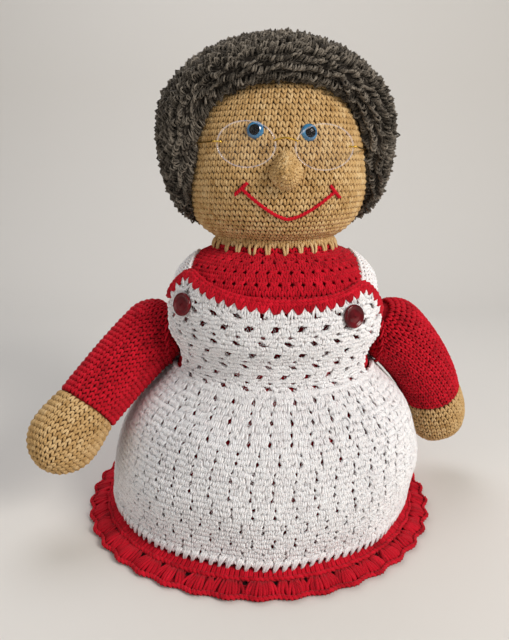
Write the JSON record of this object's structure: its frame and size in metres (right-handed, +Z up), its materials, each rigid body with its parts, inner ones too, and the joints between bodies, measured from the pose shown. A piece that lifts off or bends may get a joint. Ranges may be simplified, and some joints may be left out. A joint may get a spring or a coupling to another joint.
{
  "type": "crochet doll",
  "caption": "Stuffed crochet doll with a wide flat-bottomed skirt, buttoned openwork apron, short curled hair, round nose and removable wire spectacles; head and arms turn.",
  "frame": {"origin": "centre of the flat round base, on its underside, where the doll stands", "axes": "+Z up, -Y the way the doll faces, +X to the right as seen from in front"},
  "size_m": [0.3679, 0.2956, 0.381],
  "materials": {
    "red_yarn": "matte",
    "white_yarn": "matte",
    "skin_yarn": "matte",
    "grey_yarn": "matte",
    "stuffing": "matte",
    "cardboard": "matte",
    "button_plastic": "gloss",
    "eye_plastic": "gloss",
    "washer_plastic": "satin",
    "gold_wire": "polished",
    "clear_plastic": "gloss"
  },
  "bodies": {
    "body": {"body_cover": "red_yarn", "body_stuffing": "stuffing", "base_panel": "red_yarn", "base_stiffener": "cardboard", "skirt_flounce": "red_yarn", "apron_skirt": "white_yarn", "apron_bib": "white_yarn", "bib_edging": "red_yarn", "left_strap": "white_yarn", "right_strap": "white_yarn", "left_button": "button_plastic", "right_button": "button_plastic", "left_button_thread": "red_yarn", "right_button_thread": "red_yarn"},
    "neck": {"neck_seam": "skin_yarn"},
    "head": {"head_cover": "skin_yarn", "head_stuffing": "stuffing", "hair_cap": "grey_yarn", "nose_cover": "skin_yarn", "nose_stuffing": "stuffing", "smile_yarn": "red_yarn", "left_mouth_tick": "red_yarn", "right_mouth_tick": "red_yarn", "left_eye": "eye_plastic", "right_eye": "eye_plastic", "left_eye_washer": "washer_plastic", "right_eye_washer": "washer_plastic"},
    "glasses": {"left_lens": "clear_plastic", "right_lens": "clear_plastic", "glasses_bridge": "gold_wire", "left_temple": "gold_wire", "right_temple": "gold_wire"},
    "left_shoulder": {"left_shoulder_seam": "red_yarn"},
    "left_arm": {"left_sleeve": "red_yarn", "left_hand": "skin_yarn", "left_arm_stuffing": "stuffing"},
    "right_shoulder": {"right_shoulder_seam": "red_yarn"},
    "right_arm": {"right_sleeve": "red_yarn", "right_hand": "skin_yarn", "right_arm_stuffing": "stuffing"}
  },
  "joints": [
    {"name": "head_turn", "type": "hinge", "parent": "body", "child": "neck", "pos_m": [0.013, 0, 0.242], "axis": [0, 0, 1], "range_deg": [-20, 20], "stiffness_Nm_per_rad": 0.5},
    {"name": "head_nod", "type": "hinge", "parent": "neck", "child": "head", "pos_m": [0.013, 0, 0.242], "axis": [0.9986, 0.0523, 0], "range_deg": [-8, 8], "stiffness_Nm_per_rad": 1.5},
    {"name": "glasses_pull_off", "type": "slide", "parent": "head", "child": "glasses", "axis": [0.0523, -0.9986, 0], "range_m": [0, 0.12]},
    {"name": "left_arm_swing", "type": "hinge", "parent": "body", "child": "left_shoulder", "pos_m": [-0.087, -0.005, 0.15], "axis": [1, 0, 0], "range_deg": [-30, 12], "stiffness_Nm_per_rad": 0.3},
    {"name": "left_arm_raise", "type": "hinge", "parent": "left_shoulder", "child": "left_arm", "pos_m": [-0.087, -0.005, 0.15], "axis": [0, 0.766, -0.6428], "range_deg": [0, 60], "stiffness_Nm_per_rad": 0.3},
    {"name": "right_arm_swing", "type": "hinge", "parent": "body", "child": "right_shoulder", "pos_m": [0.113, 0, 0.15], "axis": [1, 0, 0], "range_deg": [-14, 45], "stiffness_Nm_per_rad": 0.3},
    {"name": "right_arm_raise", "type": "hinge", "parent": "right_shoulder", "child": "right_arm", "pos_m": [0.113, 0, 0.15], "axis": [0, -0.9272, -0.3746], "range_deg": [0, 60], "stiffness_Nm_per_rad": 0.3}
  ]
}
